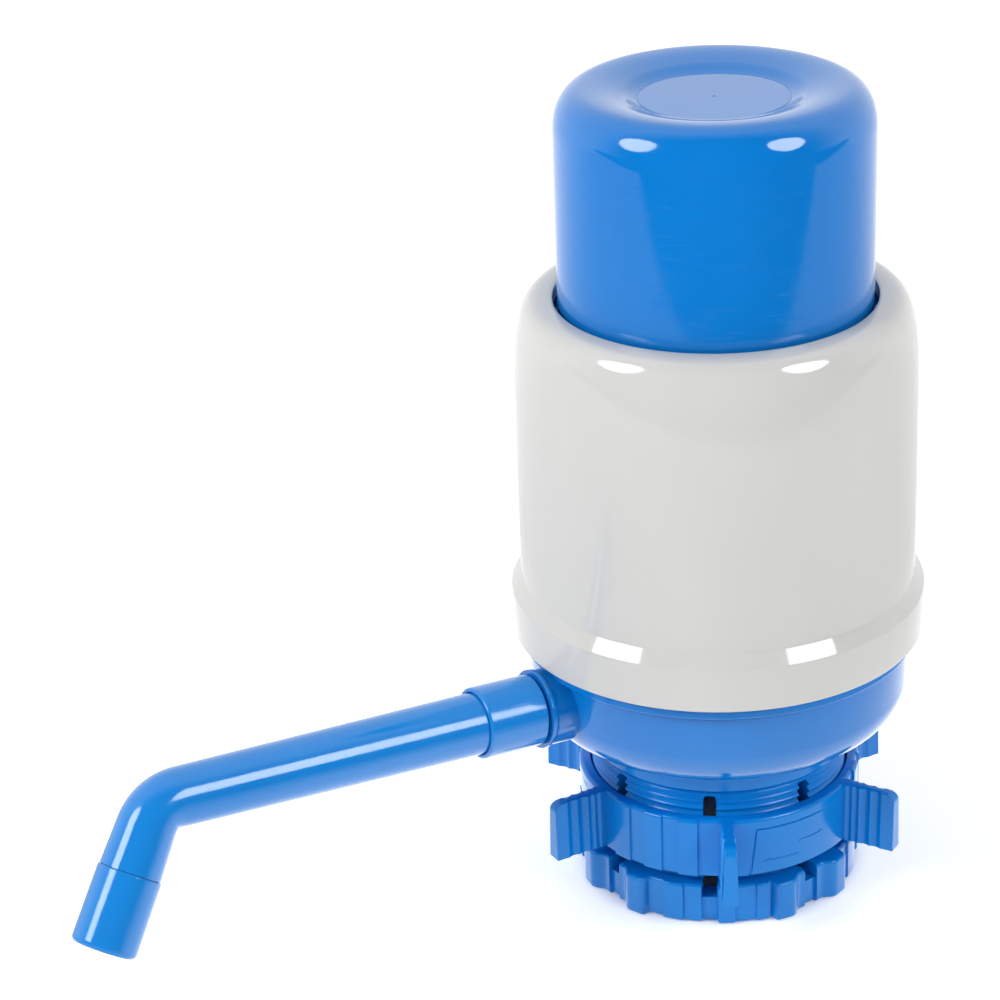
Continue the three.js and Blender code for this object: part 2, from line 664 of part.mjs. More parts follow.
const spout = new THREE.Group();
spout.applyMatrix4(outletFrame(SPOUT_ROLL));
spout.add(piece('spout_coupling', spoutCoupling(), bluePlastic));
spout.add(piece('spout_tube', spoutTube(), bluePlastic));
spout.add(piece('spout_tip', spoutTip(), bluePlastic));
pump.add(spout);

export default pump;
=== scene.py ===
"""Looks of a hand pump for large water bottles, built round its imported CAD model.

Shapes are drawn in millimetres in the part's own frame and scaled to metres when a mesh is
made.  A heading is an angle in degrees from -Y towards +X, as seen from above.
"""
import json
import math

import bmesh
import bpy
from mathutils import Matrix, Vector


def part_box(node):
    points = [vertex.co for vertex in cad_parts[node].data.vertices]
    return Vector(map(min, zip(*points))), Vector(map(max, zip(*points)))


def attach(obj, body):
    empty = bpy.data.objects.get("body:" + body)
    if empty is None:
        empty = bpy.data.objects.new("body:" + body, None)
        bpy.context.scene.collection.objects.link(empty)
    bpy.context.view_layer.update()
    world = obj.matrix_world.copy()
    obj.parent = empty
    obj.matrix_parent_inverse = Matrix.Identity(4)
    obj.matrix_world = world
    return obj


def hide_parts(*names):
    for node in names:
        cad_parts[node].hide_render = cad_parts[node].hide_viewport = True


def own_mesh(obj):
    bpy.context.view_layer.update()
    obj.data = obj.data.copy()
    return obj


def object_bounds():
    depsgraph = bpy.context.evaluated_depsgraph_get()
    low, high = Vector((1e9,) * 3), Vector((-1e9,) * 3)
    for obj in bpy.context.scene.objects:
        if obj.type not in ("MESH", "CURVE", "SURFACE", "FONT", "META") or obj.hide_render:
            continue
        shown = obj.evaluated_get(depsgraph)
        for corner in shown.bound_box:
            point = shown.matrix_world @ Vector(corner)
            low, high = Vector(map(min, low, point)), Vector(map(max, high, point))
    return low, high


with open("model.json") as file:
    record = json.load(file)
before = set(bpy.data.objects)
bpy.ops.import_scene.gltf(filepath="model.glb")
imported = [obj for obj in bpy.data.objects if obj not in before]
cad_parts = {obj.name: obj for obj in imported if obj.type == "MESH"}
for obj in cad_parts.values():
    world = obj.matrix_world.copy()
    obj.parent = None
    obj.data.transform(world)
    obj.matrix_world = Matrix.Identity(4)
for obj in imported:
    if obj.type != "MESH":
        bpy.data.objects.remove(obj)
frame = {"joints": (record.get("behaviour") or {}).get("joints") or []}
cad_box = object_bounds()

MM = 0.001
FINE = 256                # segments round a large part
ROUND = 96                # segments round a tube or a stem


def span(node):
    """A turned node's greatest radius, lowest and highest height, in mm."""
    low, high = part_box(node)
    return high.x / MM, low.z / MM, high.z / MM


def joint(name):
    return next(j for j in frame["joints"] if j["name"] == name)


# ---- driving dimensions, mm ------------------------------------------------------------
FOOT = cad_box[0].z / MM                       # what the pump stands on
RIM_RADIUS, HOUSING_FOOT, HOUSING_TOP = span("housing")
CAP_FLANGE, CAP_FOOT, CAP_TOP = span("press_cap")
FLANGE_RADIUS = span("base_bowl")[0]
RING_FOOT = span("clamp_ring")[1]
RING_TOP = span("clamp_ring")[2]
WING_TIP = span("clamp_ring")[0]
COLLAR_TOP = span("neck_collar")[2]

SKIRT_TOP = FOOT + 10.5
SKIRT_RADIUS = 34.4
TOOTH_HEIGHT = 2.2
PANEL_HEIGHT = 0.55
COLLAR_BORE = 28.4
RIDGES = 6
RIDGE_ROOT = 30.9
RIDGE_CREST = 31.65
RIDGE_PITCH = 1.95
BAND_RADIUS = 32.2
BAND_FOOT = FOOT + 35.8
SLOT_TURN = -37.2
SLOT_FOOT = FOOT + 6.8
SLOT_TOP = FOOT + 34.1

RING_BORE = 32.0
GRIP_LOW = 34.4
GRIP_HIGH = 35.0
LABEL_RADIUS = 34.9
LABEL_TOP = RING_TOP - 2.8
LABEL_LEFT = 11.4                              # degrees from the wing, at the label's top
LABEL_RIGHT = 55
LABEL_SLANT = 2.5                              # degrees its left edge leans
WINGS = 6
WING_TURN = -29.9
WING_FOOT = FOOT + 13.6
WING_CORNER = 2.2
WING_RIBS = (-0.4, 3.4, 6.3, 9.2, 11.1, 12.6, 20.0)    # crests, from the tip inwards
WING_HOLLOWS = (0.12, 0.45, 0.45, 0.3, 0.25, 0.0)      # depths between those crests

BOWL_FOOT = FOOT + 43.0
BOWL_RADIUS = 46.35
BOWL_FILLET = 10.0
BOWL_WALL = 2.4
CHAMBER_RADIUS = 43.2
LEDGE_TOP = FOOT + 63.5
FLANGE_FOOT = HOUSING_FOOT - 3.0

HOUSING_RADIUS = 47.8
HOUSING_WALL = 2.0
OPENING_RADIUS = 38.1
SHOULDER_FOOT = HOUSING_FOOT + 54.8
BEAD_TOP = HOUSING_FOOT + 14.2
BEAD_BEVEL = 3.4

CAP_RADIUS = 37.1
CAP_WALL = 1.9
CREST_RADIUS = 30.0                            # where the cap is highest
CREST_HEIGHT = 9.9                             # of the rounding outside it
DISC_RADIUS = 17.7                             # the flat press face
DISH_RADIUS = 22.0                             # the lip round it
DISH_DEPTH = 1.6                               # how far the disc lies below that lip

OUTLET = Vector(joint("spout_swivel")["pos_m"]) / MM
OUTWARD = Vector(joint("spout_swivel")["axis"])
SPOUT_ROLL = 16.7
BOSS_RADIUS = 9.2
BOSS_END = 52.7
TUBE_START = 66.1
ARM_RADIUS = 7.5
ELBOW_AT = 151.2
ELBOW_BEND = math.radians(60.1)
ELBOW_OUTER = 17.7                             # radius of the bend along its outside
ELBOW_RADIUS = 6.9
LEG_RADIUS = 7.25
TIP_RADIUS = 7.65
TIP_STEP = 16.4                                # from the elbow's corner to the tip sleeve
TIP_END = 34.7


# ---- mesh tools ------------------------------------------------------------------------
def heading(turn):
    """Unit vector `turn` degrees from -Y towards +X."""
    return Vector((math.sin(math.radians(turn)), -math.cos(math.radians(turn)), 0))


def skin(name, loops, wrap):
    """A closed mesh over a row of point loops; `wrap` joins the last loop to the first."""
    count = len(loops[0])
    corners = [Vector(p) * MM for loop in loops for p in loop]
    faces = []
    for i in range(len(loops) if wrap else len(loops) - 1):
        here, there = i * count, ((i + 1) % len(loops)) * count
        for j in range(count):
            k = (j + 1) % count
            faces.append((here + j, here + k, there + k, there + j))
    if not wrap:
        faces.append(tuple(range(count)))
        faces.append(tuple(range((len(loops) - 1) * count, len(loops) * count)))
    mesh = bpy.data.meshes.new(name)
    mesh.from_pydata(corners, [], faces)
    body = bmesh.new()
    body.from_mesh(mesh)
    bmesh.ops.remove_doubles(body, verts=body.verts, dist=1e-7)
    bmesh.ops.recalc_face_normals(body, faces=body.faces)
    body.to_mesh(mesh)
    body.free()
    piece = bpy.data.objects.new(name, mesh)
    bpy.context.scene.collection.objects.link(piece)
    return piece


def rounded(corners, step=12):
    """A closed outline of (r, z) or (r, z, fillet) corners, with its fillets as arcs."""
    outline = []
    for i, corner in enumerate(corners):
        here = Vector(corner[:2])
        if len(corner) < 3:
            outline.append(here)
            continue
        before = Vector(corners[i - 1][:2]) - here
        after = Vector(corners[(i + 1) % len(corners)][:2]) - here
        half = before.angle(after) / 2
        reach = corner[2] / math.tan(half)
        start = here + before.normalized() * reach
        end = here + after.normalized() * reach
        centre = here + (before.normalized() + after.normalized()).normalized() * (
            corner[2] / math.sin(half))
        sweep = (start - centre).angle_signed(end - centre)
        count = max(2, round(abs(math.degrees(sweep)) / step))
        for k in range(count + 1):
            outline.append(centre + Matrix.Rotation(-sweep * k / count, 2) @ (start - centre))
    return outline


def turned(name, outline, segments=FINE):
    """A closed outline of (r, z) turned about the pump's axis."""
    loops = []
    for i in range(segments):
        out = heading(360 * i / segments)
        loops.append([out * p[0] + Vector((0, 0, p[1])) for p in outline])
    return skin(name, loops, wrap=True)


def arc(radius_mid, height_mid, width, height, power, count):
    """A quarter superellipse from its top round to its side, as (r, z) points."""
    points = []
    for i in range(count + 1):
        angle = math.pi / 2 * i / count
        points.append((radius_mid + width * math.sin(angle) ** (2 / power),
                       height_mid + height * math.cos(angle) ** (2 / power)))
    return points


def tube_between(name, radius, start, end, segments=ROUND):
    """A plain rod between two points, as a tool for cuts and joins."""
    axis = (end - start).normalized()
    side = axis.orthogonal().normalized()
    other = axis.cross(side)
    loops = []
    for centre in (start, end):
        angles = [2 * math.pi * i / segments for i in range(segments)]
        loops.append([centre + side * radius * math.cos(a) + other * radius * math.sin(a)
                      for a in angles])
    return skin(name, loops, wrap=False)


def combine(piece, operation, tools):
    """Joins tools to a piece or cuts them out of it, and removes the tools."""
    for tool in tools:
        step = piece.modifiers.new(operation, "BOOLEAN")
        step.operation = operation
        step.solver = "EXACT"
        step.object = tool
    graph = bpy.context.evaluated_depsgraph_get()
    graph.update()
    mesh = bpy.data.meshes.new_from_object(piece.evaluated_get(graph))
    piece.modifiers.clear()
    piece.data = mesh
    for tool in tools:
        bpy.data.objects.remove(tool)
    return piece


def place(piece, matrix):
    """Moves a piece's mesh, not its object."""
    piece.data.transform(matrix)
    return piece


def outlet_frame(roll):
    """Frame on the outlet: X runs out along the spout, turned about it by `roll` degrees."""
    side = Vector((0, 0, 1)).cross(OUTWARD).normalized()
    up = OUTWARD.cross(side)
    basis = Matrix((OUTWARD, side, up)).transposed().to_4x4()
    basis.translation = OUTLET * MM
    return basis @ Matrix.Rotation(math.radians(roll), 4, "X")


ALONG_OUTLET = Matrix.Rotation(math.pi / 2, 4, "Y")     # turns what is drawn along +Z to +X


def finish(piece, node, body, material, crease=32):
    """Shades a piece, gives it its material and lets it stand for its CAD node."""
    piece.data.shade_smooth()
    piece.data.set_sharp_from_angle(angle=math.radians(crease))
    weights = piece.modifiers.new("weights", "WEIGHTED_NORMAL")
    weights.keep_sharp = True
    weights.weight = 60
    piece.data.materials.clear()
    piece.data.materials.append(material)
    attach(piece, body)
    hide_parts(node)
    return piece


# ---- materials -------------------------------------------------------------------------
class Nodes:
    """Builds a node tree a line at a time."""

    def __init__(self, tree):
        self.tree = tree
        tree.nodes.clear()

    def add(self, kind, **settings):
        node = self.tree.nodes.new("ShaderNode" + kind)
        for name, value in settings.items():
            setattr(node, name, value)
        return node

    def link(self, start, end):
        self.tree.links.new(start, end)

    def math(self, operation, first, second):
        node = self.add("Math", operation=operation)
        for socket, value in zip(node.inputs, (first, second)):
            if isinstance(value, (int, float)):
                socket.default_value = value
            else:
                self.link(value, socket)
        return node.outputs[0]

    def along(self, vector, direction):
        """How far a position or a ray's direction lies along `direction`."""
        dot = self.add("VectorMath", operation="DOT_PRODUCT")
        dot.inputs[1].default_value = direction
        self.link(vector, dot.inputs[0])
        return dot.outputs["Value"]

    def from_axis(self, position):
        """How far a position lies from the pump's axis."""
        flat = self.add("VectorMath", operation="MULTIPLY")
        flat.inputs[1].default_value = (1, 1, 0)
        self.link(position, flat.inputs[0])
        length = self.add("VectorMath", operation="LENGTH")
        self.link(flat.outputs["Vector"], length.inputs[0])
        return length.outputs["Value"]

    def ramp(self, value, start, end, first, second):
        """Goes smoothly from `first` at `start` to `second` at `end`."""
        node = self.add("MapRange", interpolation_type="SMOOTHSTEP")
        for name, number in zip(("From Min", "From Max", "To Min", "To Max"),
                                (start, end, first, second)):
            node.inputs[name].default_value = number
        self.link(value, node.inputs["Value"])
        return node.outputs["Result"]

    def noise(self, scale, detail=2.0, stretch=(1, 1, 1)):
        """Noise of `scale` features a metre, in the object's own frame."""
        coordinates = self.add("TexCoord")
        mapping = self.add("Mapping")
        mapping.inputs["Scale"].default_value = stretch
        self.link(coordinates.outputs["Object"], mapping.inputs["Vector"])
        texture = self.add("TexNoise")
        texture.inputs["Scale"].default_value = scale
        texture.inputs["Detail"].default_value = detail
        self.link(mapping.outputs["Vector"], texture.inputs["Vector"])
        return texture.outputs["Fac"]

    def spread(self, value, low, high):
        """Maps 0.3 to 0.7, where noise mostly lies, on low to high."""
        node = self.add("MapRange")
        node.inputs["From Min"].default_value = 0.3
        node.inputs["From Max"].default_value = 0.7
        node.inputs["To Min"].default_value = low
        node.inputs["To Max"].default_value = high
        self.link(value, node.inputs["Value"])
        return node.outputs["Result"]

    def colours(self, value, first, second):
        ramp = self.add("ValToRGB")
        ramp.color_ramp.elements[0].position = 0.35
        ramp.color_ramp.elements[0].color = (*first, 1)
        ramp.color_ramp.elements[1].position = 0.65
        ramp.color_ramp.elements[1].color = (*second, 1)
        self.link(value, ramp.inputs["Fac"])
        return ramp.outputs["Color"]

    def bump(self, height, depth, under=None):
        """Bump of `depth` metres."""
        node = self.add("Bump")
        node.inputs["Strength"].default_value = 1.0
        node.inputs["Distance"].default_value = depth
        self.link(height, node.inputs["Height"])
        if under is not None:
            self.link(under, node.inputs["Normal"])
        return node.outputs["Normal"]


def new_material(name):
    material = bpy.data.materials.new(name)
    material.use_nodes = True
    nodes = Nodes(material.node_tree)
    surface = nodes.add("BsdfPrincipled")
    output = nodes.add("OutputMaterial")
    nodes.link(surface.outputs["BSDF"], output.inputs["Surface"])
    return material, nodes, surface


def moulded_plastic(name, light, dark, gloss, grain=0.0, flow=4e-6, shine=0.5, scuffs=0.0):
    """Glossy moulded plastic: slight flow marks in colour, gloss and surface."""
    material, nodes, surface = new_material(name)
    clouds = nodes.noise(35, 3.0, stretch=(1, 1, 0.35))
    nodes.link(nodes.colours(clouds, dark, light), surface.inputs["Base Color"])
    patches = nodes.noise(120, 4.0)
    nodes.link(nodes.spread(patches, gloss[0], gloss[1]), surface.inputs["Roughness"])
    waves = nodes.bump(nodes.noise(90, 2.0, stretch=(1, 1, 0.4)), flow * 10)
    skin_normal = nodes.bump(nodes.noise(900, 3.0), flow, waves)
    if grain:
        skin_normal = nodes.bump(nodes.noise(3500, 2.0), grain, skin_normal)
    if scuffs:
        dashes = nodes.ramp(nodes.noise(420, 6.0, stretch=(0.35, 0.35, 2.5)), 0.6, 0.66, 0, 1)
        height = nodes.along(nodes.add("TexCoord").outputs["Object"], (0, 0, 1))
        on_walls = nodes.ramp(height, -0.008, -0.002, 1, 0)
        skin_normal = nodes.bump(nodes.math("MULTIPLY", dashes, on_walls), scuffs, skin_normal)
    nodes.link(skin_normal, surface.inputs["Normal"])
    surface.inputs["IOR"].default_value = 1.49
    surface.inputs["Specular IOR Level"].default_value = shine
    return material


def soft_rubber(name, light, dark, rough):
    """Moulded rubber: dusty, soft-edged gloss and a fine skin."""
    material, nodes, surface = new_material(name)
    nodes.link(nodes.colours(nodes.noise(60, 4.0), dark, light), surface.inputs["Base Color"])
    nodes.link(nodes.spread(nodes.noise(250, 3.0), rough - 0.08, rough + 0.08),
               surface.inputs["Roughness"])
    nodes.link(nodes.bump(nodes.noise(1800, 3.0), 1.2e-5), surface.inputs["Normal"])
    surface.inputs["Sheen Weight"].default_value = 0.15
    return material


def drawn_steel(name):
    """Drawn wire: bright steel with fine scratches."""
    material, nodes, surface = new_material(name)
    surface.inputs["Metallic"].default_value = 1.0
    scratches = nodes.noise(700, 5.0, stretch=(0.2, 0.2, 3))
    nodes.link(nodes.colours(scratches, (0.42, 0.43, 0.45), (0.6, 0.61, 0.62)),
               surface.inputs["Base Color"])
    nodes.link(nodes.spread(scratches, 0.22, 0.42), surface.inputs["Roughness"])
    nodes.link(nodes.bump(scratches, 8e-6), surface.inputs["Normal"])
    return material


BLUE = moulded_plastic("blue_plastic", (0.003, 0.188, 0.6), (0.002, 0.178, 0.575), (0.05, 0.1),
                       flow=2e-6, scuffs=8e-6)
SPOUT_BLUE = moulded_plastic("spout_blue_plastic", (0.01, 0.235, 0.69), (0.008, 0.22, 0.66),
                             (0.07, 0.16), flow=6e-6)
COLLAR_BLUE = moulded_plastic("collar_blue_plastic", (0.002, 0.228, 0.69),
                              (0.001, 0.213, 0.65), (0.16, 0.22), grain=2e-6, shine=0.25)
WHITE = moulded_plastic("white_plastic", (0.615, 0.613, 0.598), (0.595, 0.593, 0.578), (0.05, 0.1))
NATURAL = moulded_plastic("natural_plastic", (0.80, 0.81, 0.80), (0.76, 0.77, 0.76), (0.3, 0.4))
RUBBER = soft_rubber("soft_rubber", (0.56, 0.58, 0.60), (0.50, 0.52, 0.54), 0.5)
BLACK_RUBBER = soft_rubber("black_rubber", (0.02, 0.02, 0.022), (0.012, 0.012, 0.013), 0.45)
STEEL = drawn_steel("spring_steel")


# ---- the cap and the housing -------------------------------------------------------------
def press_cap():
    """The cap: sunk disc, soft crest, deep wall and the flange that stops it leaving."""
    fine, groove, steps = 0.12, 0.3, 16
    gate_mark = [(0, fine), (0.35, 0.1), (0.5, 0)]
    outline = gate_mark + [(DISC_RADIUS - groove, 0), (DISC_RADIUS - groove / 2, -fine)]
    for i in range(steps + 1):
        share = i / steps
        rise = DISH_DEPTH * (0.55 * share + 0.45 * (0.5 - 0.5 * math.cos(math.pi * share)))
        outline.append((DISC_RADIUS + (DISH_RADIUS - DISC_RADIUS) * share, rise))
    for i in range(1, steps + 1):
        share = i / steps
        rise = DISH_DEPTH + (CAP_TOP - DISH_DEPTH) * math.sin(math.pi / 2 * share)
        outline.append((DISH_RADIUS + (CREST_RADIUS - DISH_RADIUS) * share, rise))
    outline += arc(CREST_RADIUS, CAP_TOP - CREST_HEIGHT, CAP_RADIUS - CREST_RADIUS,
                   CREST_HEIGHT, 2.15, 28)[1:]
    inner, under, flange_top = CAP_RADIUS - CAP_WALL, -CAP_WALL, CAP_FOOT + 2.5
    stud, stud_bore, stud_foot = 14.5, 12.5, -8.2
    outline += rounded([
        (CAP_RADIUS, flange_top), (CAP_FLANGE, flange_top, 0.4), (CAP_FLANGE, CAP_FOOT, 0.4),
        (inner, CAP_FOOT, 0.4), (inner, -4.9, 3.0), (stud, under, 0.6), (stud, stud_foot, 0.3),
        (stud_bore, stud_foot, 0.3), (stud_bore, under, 0.3), (0, under),
    ])
    return turned("press_cap_fine", outline)


def housing():
    """The housing: soft shoulder round the cap's opening, straight wall and foot bead."""
    lip = 0.45
    edge = OPENING_RADIUS + 2 * lip
    outline = [(OPENING_RADIUS, HOUSING_TOP - 3)]
    for i in range(7):
        angle = math.pi / 2 * i / 6
        outline.append((OPENING_RADIUS + lip - lip * math.cos(angle),
                        HOUSING_TOP - 0.2 - lip + lip * math.sin(angle)))
    outline += arc(edge, SHOULDER_FOOT, HOUSING_RADIUS - edge, HOUSING_TOP - SHOULDER_FOOT,
                   3.8, 56)[:-1]
    inner, rim_inner, seat = HOUSING_RADIUS - HOUSING_WALL, RIM_RADIUS - HOUSING_WALL, 10.7
    inside_shoulder = [(inner, HOUSING_FOOT + 66), (45.1, HOUSING_FOOT + 74),
                       (42.6, HOUSING_FOOT + 80.5)]
    outline += rounded([
        (HOUSING_RADIUS, SHOULDER_FOOT), (HOUSING_RADIUS, BEAD_TOP, 0.6),
        (RIM_RADIUS, BEAD_TOP - BEAD_BEVEL, 0.8), (RIM_RADIUS, HOUSING_FOOT, 0.35),
        (rim_inner, HOUSING_FOOT, 0.3), (rim_inner, HOUSING_FOOT + seat),
        (inner, HOUSING_FOOT + seat), *inside_shoulder,
    ])
    return turned("housing_fine", outline)


# ---- the base ----------------------------------------------------------------------------
def outlet_boss():
    """The outlet boss with its flared rim, and the grooved stub that the spout turns on."""
    start, root, core = 2, 44.5, 6                  # inside the bowl's wall the boss is slim
    rim = BOSS_RADIUS + 0.4
    stub, end = 6.4, 64.0
    groove_floor, groove_start, groove_end = stub - 0.9, 57, 59.4
    outline = rounded([
        (0, start), (core, start), (core, root), (BOSS_RADIUS, root),
        (BOSS_RADIUS, BOSS_END - 1.5, 0.8), (rim, BOSS_END - 1.0, 0.2), (rim, BOSS_END, 0.25),
        (stub, BOSS_END), (stub, groove_start, 0.1), (groove_floor, groove_start),
        (groove_floor, groove_end), (stub, groove_end, 0.1), (stub, end, 0.5), (0, end),
    ])
    boss = turned("outlet_boss", outline, ROUND)
    return place(boss, outlet_frame(0) @ ALONG_OUTLET)


def base_bowl():
    """The bowl under the housing, with its neck spigot, outlet and air holes."""
    floor = BOWL_FOOT + BOWL_WALL
    spigot, spigot_bore, spigot_foot = 28.2, 25.8, BOWL_FOOT - 3.8
    groove = BOWL_RADIUS - 1.3                      # a dark line under the flange
    flange_top = HOUSING_FOOT - 0.1
    sleeve, sleeve_bore, sleeve_top = 47.7, 45.5, HOUSING_FOOT + 10.2
    ledge = 40.4
    outline = rounded([
        (0, BOWL_FOOT), (spigot_bore, BOWL_FOOT), (spigot_bore, spigot_foot, 0.3),
        (spigot, spigot_foot, 0.3), (spigot, BOWL_FOOT), (BOWL_RADIUS, BOWL_FOOT, BOWL_FILLET),
        (BOWL_RADIUS, FLANGE_FOOT - 0.9, 0.2), (groove, FLANGE_FOOT - 0.7), (groove, FLANGE_FOOT),
        (FLANGE_RADIUS + 0.4, FLANGE_FOOT, 0.35), (FLANGE_RADIUS, flange_top), (sleeve, flange_top),
        (sleeve, sleeve_top, 0.3), (sleeve_bore, sleeve_top, 0.3), (sleeve_bore, HOUSING_FOOT),
        (CHAMBER_RADIUS, HOUSING_FOOT), (CHAMBER_RADIUS, LEDGE_TOP), (ledge, LEDGE_TOP, 0.2),
        (ledge, LEDGE_TOP - 2.4, 0.2), (CHAMBER_RADIUS, LEDGE_TOP - 5),
        (CHAMBER_RADIUS, floor, BOWL_FILLET - BOWL_WALL), (0, floor),
    ], step=5)
    bowl = turned("base_bowl_fine", outline)
    up = Vector((0, 0, 1))
    well_radius, well_bore, water_bore, past_stub = 8.2, 6.3, 4.4, 70
    well = tube_between("well", well_radius, up * (BOWL_FOOT - 2.4), up * (OUTLET.z + 5))
    combine(bowl, "UNION", [outlet_boss(), well])
    cuts = [tube_between("well_bore", well_bore, up * (FOOT + 30), up * OUTLET.z),
            tube_between("water_bore", water_bore, OUTLET, OUTLET + OUTWARD * past_stub)]
    holes, hole_radius, hole_circle, past_floor = 6, 3, 16.5, 6
    for i in range(holes):
        at = heading(30 + 360 * i / holes) * hole_circle
        cuts.append(tube_between("air_hole", hole_radius, at + up * (BOWL_FOOT - past_floor),
                                 at + up * (floor + past_floor), 48))
    return combine(bowl, "DIFFERENCE", cuts)


# ---- the collar and the ring ---------------------------------------------------------------
def step_up(turn, edge, width):
    """0 before an edge and 1 after it, with a soft ramp of `width` degrees."""
    share = min(1.0, max(0.0, (turn - edge) / width + 0.5))
    return share * share * (3 - 2 * share)


def plateau(turn, start, end, rise, fall=None):
    """1 between two headings and 0 outside, with a ramp of `rise` and of `fall` degrees."""
    middle = (start + end) / 2
    turn = middle + (turn - middle + 180) % 360 - 180
    return step_up(turn, start, rise) * (1 - step_up(turn, end, fall or rise))


def sample_turns(edges, width):
    """Headings round the part: one a degree, and several across each edge."""
    turns = [i - 180 for i in range(360)]
    for edge in edges:
        turns += [(edge + width * k / 8 + 180) % 360 - 180 for k in range(-4, 5)]
    kept = [-180]
    for turn in sorted(turns):
        if kept[-1] + 0.04 < turn < 179.96:
            kept.append(turn)
    return kept


def skirt_features():
    """Panels round the skirt: (start, end, height, ramp up, ramp down) in degrees and mm."""
    features = []
    steep, gentle, crisp = 2.2, 5.5, 0.35
    near, far = 8.6, 18.6                           # a tooth's sides, from the slot beside it
    notch, notch_depth = 3.15, 0.9
    for i in range(4):
        toothed = SLOT_TURN - 45 + 90 * i
        features.append((toothed - far, toothed - near, TOOTH_HEIGHT, steep, gentle))
        features.append((toothed + near, toothed + far, TOOTH_HEIGHT, gentle, steep))
        plain = toothed + 45
        for start, end in ((-19.3, -10.6), (3.6, 10.6), (19.2, 24.8)):
            features.append((plain + start, plain + end, PANEL_HEIGHT, crisp, crisp))
        for slot in (toothed, plain):
            features.append((slot - notch, slot + notch, -notch_depth, crisp, crisp))
    return features


def slot_cutter(turn):
    """Tool for one slot between the collar's fingers, wider where it meets the skirt."""
    narrow, wide, step = 1.6, 1.9, SKIRT_TOP + 1
    outline = [(-wide, SLOT_FOOT), (wide, SLOT_FOOT), (wide, step), (narrow, step)]
    for i in range(13):
        angle = math.pi * i / 12
        outline.append((narrow * math.cos(angle), SLOT_TOP - narrow + narrow * math.sin(angle)))
    outline.append((-narrow, step))
    out = heading(turn)
    side = Vector((-out.y, out.x, 0))
    loops = [[out * reach + side * w + Vector((0, 0, z)) for w, z in outline]
             for reach in (COLLAR_BORE - 2.4, SKIRT_RADIUS + 5.6)]
    return skin("slot", loops, wrap=False)


def neck_collar():
    """The collar: toothed skirt, ridges, plain band, and slots that let it grip the neck."""
    features = skirt_features()
    edges = [edge for start, end, *_ in features for edge in (start, end)]
    ridges = []
    top_ridge = BAND_FOOT - 0.5
    for i in range(RIDGES):
        z = top_ridge - (RIDGES - i) * RIDGE_PITCH
        ridges += [(RIDGE_ROOT, z), (RIDGE_ROOT + 0.35, z + 0.5), (RIDGE_CREST - 0.1, z + 0.85),
                   (RIDGE_CREST, z + 1.1), (RIDGE_CREST - 0.12, z + 1.35), (RIDGE_ROOT + 0.1, z + 1.7)]
    mouth = COLLAR_BORE + 1.6
    above = rounded([
        (RIDGE_ROOT, top_ridge), (BAND_RADIUS, BAND_FOOT, 0.15), (BAND_RADIUS, COLLAR_TOP, 0.3),
        (COLLAR_BORE, COLLAR_TOP, 0.2), (COLLAR_BORE, FOOT + 2.2), (mouth, FOOT),
    ])
    loops = []
    for turn in sample_turns(edges, 1.4):
        radius = SKIRT_RADIUS
        for start, end, height, rise, fall in features:
            radius += height * plateau(turn, start, end, rise, fall)
        skirt = rounded([(mouth, FOOT), (radius, FOOT, 0.8), (radius, SKIRT_TOP, 0.8),
                         (RIDGE_ROOT, SKIRT_TOP)])
        out = heading(turn)
        loops.append([out * p[0] + Vector((0, 0, p[1])) for p in skirt[1:] + ridges + above])
    collar = skin("neck_collar_fine", loops, wrap=True)
    return combine(collar, "DIFFERENCE", [slot_cutter(SLOT_TURN + 45 * i) for i in range(8)])


def wing_half(reach, z):
    """Half the wing's thickness: drafted, and hollowed between its ribs."""
    share = (z - WING_FOOT) / (RING_TOP - WING_FOOT)
    from_tip = WING_TIP - reach
    foot_half, draft, widening = 2.05, 0.55, 0.01
    half = foot_half - draft * share + widening * from_tip
    for start, end, depth in zip(WING_RIBS, WING_RIBS[1:], WING_HOLLOWS):
        if start <= from_tip < end:
            across = 2 * (from_tip - start) / (end - start) - 1
            return half - depth * (1 - across ** 2)
    return half


def wing(turn):
    """A wing of the ring: fluted sides, a rounded top corner, soft edges."""
    soft, step = 0.25, 0.2
    out = heading(turn)
    side = Vector((-out.y, out.x, 0))
    start = RING_BORE + 1
    count = round((WING_TIP - soft - start) / step)
    reaches = [start + (WING_TIP - soft - start) * i / count for i in range(count + 1)]
    reaches += [WING_TIP - 0.1, WING_TIP]
    loops = []
    for reach in reaches:
        into = min(WING_CORNER, max(0.0, reach - (WING_TIP - WING_CORNER)))
        top = RING_TOP - WING_CORNER + math.sqrt(WING_CORNER ** 2 - into ** 2)
        end = max(0.0, reach - (WING_TIP - soft)) / soft
        ease = soft * (1 - math.sqrt(max(0.0, 1 - end ** 2)))
        wide = wing_half(reach, WING_FOOT) - ease
        slim = wing_half(reach, top) - ease
        foot = WING_FOOT + ease
        section = rounded([(-wide, foot, soft), (wide, foot, soft), (slim, top, soft),
                           (-slim, top, soft)], step=30)
        loops.append([out * reach + side * w + Vector((0, 0, z)) for w, z in section])
    return skin("wing", loops, wrap=False)


def sectors():
    """The ring's sectors between wings: (wing's heading, whether raised panels fill it)."""
    return [(WING_TURN + 360 / WINGS * i, i % 2 == 1) for i in range(WINGS)]


def grip_panels(start):
    """Headings where the three raised panels after a wing start and end."""
    return [(start + 10 + 15 * k, start + 18.3 + 15 * k) for k in range(3)]


